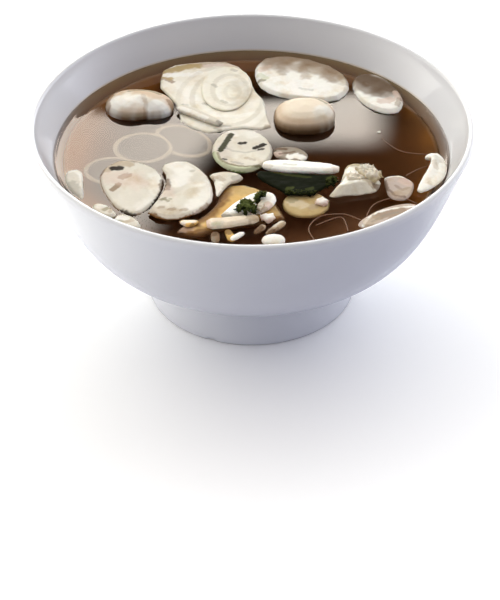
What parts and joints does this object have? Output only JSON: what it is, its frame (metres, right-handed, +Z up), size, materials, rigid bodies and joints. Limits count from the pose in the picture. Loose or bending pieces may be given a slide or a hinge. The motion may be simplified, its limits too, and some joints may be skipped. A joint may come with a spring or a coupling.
{
  "type": "miso soup",
  "caption": "White porcelain bowl of clear brown miso soup, with mushroom slices, leek and courgette slices, a green leaf and curly herbs floating on the broth.",
  "frame": {"origin": "centre of the foot ring's underside", "axes": "+Z up, out of the bowl's mouth; -Y towards the viewer, the side with the herbs; +X to the viewer's right"},
  "size_m": [0.16, 0.16, 0.0733],
  "materials": {
    "porcelain": "gloss",
    "broth": "polished",
    "mushroom": "satin",
    "mushroom_skin": "gloss",
    "golden_skin": "gloss",
    "courgette": "satin",
    "leek": "gloss",
    "stem": "satin",
    "leaf": "gloss",
    "herb": "satin"
  },
  "bodies": {
    "root": {"bowl": "porcelain", "broth": "broth", "mushroom_slice_back": "mushroom", "mushroom_slice_back_right": "mushroom", "mushroom_slice_thin": "mushroom", "mushroom_slice_right": "mushroom", "mushroom_slice_lip": "mushroom", "mushroom_slice_wall": "mushroom", "mushroom_chip_left": "mushroom", "mushroom_chip_front": "mushroom", "mushroom_slice_left": "mushroom", "mushroom_slice_front": "mushroom", "mushroom_shard": "mushroom", "mushroom_slab": "mushroom", "mushroom_chip_amber": "mushroom", "mushroom_crumb_front": "mushroom", "mushroom_stem_strip": "mushroom", "mushroom_curl_right": "mushroom", "stem_shred_left": "mushroom", "stem_shred_middle": "mushroom", "stem_shred_bright": "mushroom", "petal_left": "mushroom", "petal_right": "mushroom", "button_mushroom_right": "mushroom_skin", "button_mushroom_left": "mushroom_skin", "golden_cap_slice": "golden_skin", "courgette_slice": "courgette", "courgette_slice_small": "courgette", "leek_layer_back": "leek", "leek_layer_middle": "leek", "stem_chunk": "stem", "leaf_rib": "stem", "stem_bar": "stem", "green_leaf": "leaf", "herb_sprig_left": "herb", "herb_sprig_right": "herb"}
  },
  "joints": []
}
